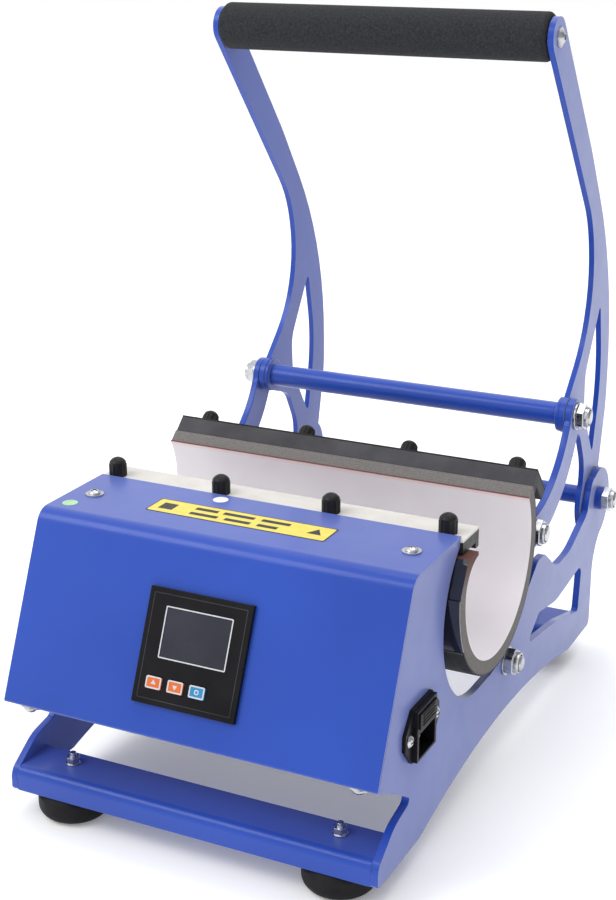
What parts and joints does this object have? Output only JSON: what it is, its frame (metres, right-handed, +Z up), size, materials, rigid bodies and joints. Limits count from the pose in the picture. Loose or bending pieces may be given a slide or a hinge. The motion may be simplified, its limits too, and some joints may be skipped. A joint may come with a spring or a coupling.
{
  "type": "mug heat press",
  "caption": "Horizontal mug heat press: sloped control box, flexible heating mat in a toggle-closed jaw, bent steel lever with a foam grip, rubber feet.",
  "frame": {"origin": "on the surface it stands on, under the middle of the whole machine", "axes": "+Z up, +Y from the control face to the rear, +X to the side with the mains inlet"},
  "size_m": [0.288, 0.448, 0.4929],
  "materials": {
    "blue_steel": "gloss powder coat",
    "zinc_steel": "bright zinc plating",
    "foot_rubber": "matte",
    "grip_sleeve": "matte closed-cell foam",
    "black_plastic": "fine satin",
    "screen": "glossy tinted window",
    "orange_button": "satin",
    "blue_button": "satin",
    "cap_plastic": "satin",
    "mat_lining": "smooth coated cloth",
    "mat_foam": "fine ribbed edge",
    "mat_band": "high gloss",
    "clamp_rubber": "matte",
    "cream_strip": "satin",
    "wire_sleeve": "satin",
    "fuse_glass": "clear"
  },
  "bodies": {
    "base": {"side_plate_left": "blue_steel", "side_plate_right": "blue_steel", "control_cover": "blue_steel", "box_tray": "blue_steel", "front_support": "blue_steel", "toe_board": "blue_steel", "rear_board": "blue_steel", "rubber_feet": "foot_rubber", "foot_studs": "zinc_steel", "panel_screws": "zinc_steel", "controller_bezel": "black_plastic", "controller_screen": "screen", "controller_body": "black_plastic", "inlet_housing": "black_plastic", "inlet_pins": "zinc_steel", "inlet_screws": "zinc_steel", "solid_state_relay": "black_plastic", "terminal_block": "cream_strip", "power_wires": "wire_sleeve", "heater_lead": "cream_strip", "lead_grommet": "foot_rubber", "heater_lining_front": "mat_lining", "heater_foam_front": "mat_foam", "heater_band_front": "mat_band", "front_clamp_block": "clamp_rubber", "front_flange_strip": "cream_strip", "front_studs": "zinc_steel", "front_caps": "cap_plastic", "jaw_pivot_bolts": "zinc_steel", "jaw_pivot_nuts": "zinc_steel", "rear_rod": "zinc_steel", "rear_rod_nuts": "zinc_steel", "rear_rod_spacers": "blue_steel"},
    "handle": {"handle_plate_left": "blue_steel", "handle_plate_right": "blue_steel", "rear_tube": "blue_steel", "cross_tube": "blue_steel", "cross_rod": "zinc_steel", "cross_nuts": "zinc_steel", "grip_tube": "zinc_steel", "grip_foam": "grip_sleeve", "grip_screws": "zinc_steel"},
    "link": {"link_left": "blue_steel", "link_right": "blue_steel", "link_bolts": "zinc_steel", "link_nuts": "zinc_steel"},
    "jaw": {"jaw_arm_left": "blue_steel", "jaw_arm_right": "blue_steel", "jaw_bar": "blue_steel", "heater_lining_rear": "mat_lining", "heater_foam_rear": "mat_foam", "heater_band_rear": "mat_band", "rear_clamp_block": "clamp_rubber", "rear_studs": "zinc_steel", "rear_caps": "cap_plastic"},
    "up_button": {"button_up": "orange_button"},
    "down_button": {"button_down": "orange_button"},
    "ok_button": {"button_ok": "blue_button"},
    "drawer": {"fuse_drawer": "black_plastic", "fuse": "fuse_glass"}
  },
  "joints": [
    {"name": "handle_swing", "type": "hinge", "parent": "base", "child": "handle", "pos_m": [0, 0.192, 0.122], "axis": [1, 0, 0], "range_deg": [0, 34]},
    {"name": "link_swing", "type": "hinge", "parent": "handle", "child": "link", "pos_m": [0, 0.125, 0.207], "axis": [1, 0, 0], "range_deg": [-75.5, 0.5]},
    {"name": "jaw_swing", "type": "hinge", "parent": "base", "child": "jaw", "pos_m": [0, -0.01, 0.0716], "axis": [1, 0, 0], "range_deg": [-0.5, 37.6]},
    {"name": "up_button_press", "type": "slide", "parent": "base", "child": "up_button", "axis": [0, 0.9171, -0.3987], "range_m": [0, 0.001], "stiffness_N_per_m": 400},
    {"name": "down_button_press", "type": "slide", "parent": "base", "child": "down_button", "axis": [0, 0.9171, -0.3987], "range_m": [0, 0.001], "stiffness_N_per_m": 400},
    {"name": "ok_button_press", "type": "slide", "parent": "base", "child": "ok_button", "axis": [0, 0.9171, -0.3987], "range_m": [0, 0.001], "stiffness_N_per_m": 400},
    {"name": "drawer_slide", "type": "slide", "parent": "base", "child": "drawer", "axis": [1, 0, 0], "range_m": [0, 0.02]}
  ],
  "couplings": [
    {"joint": "jaw_swing", "follows": "handle_swing", "ratio": 1.098},
    {"joint": "link_swing", "follows": "handle_swing", "ratio": -2.208}
  ]
}
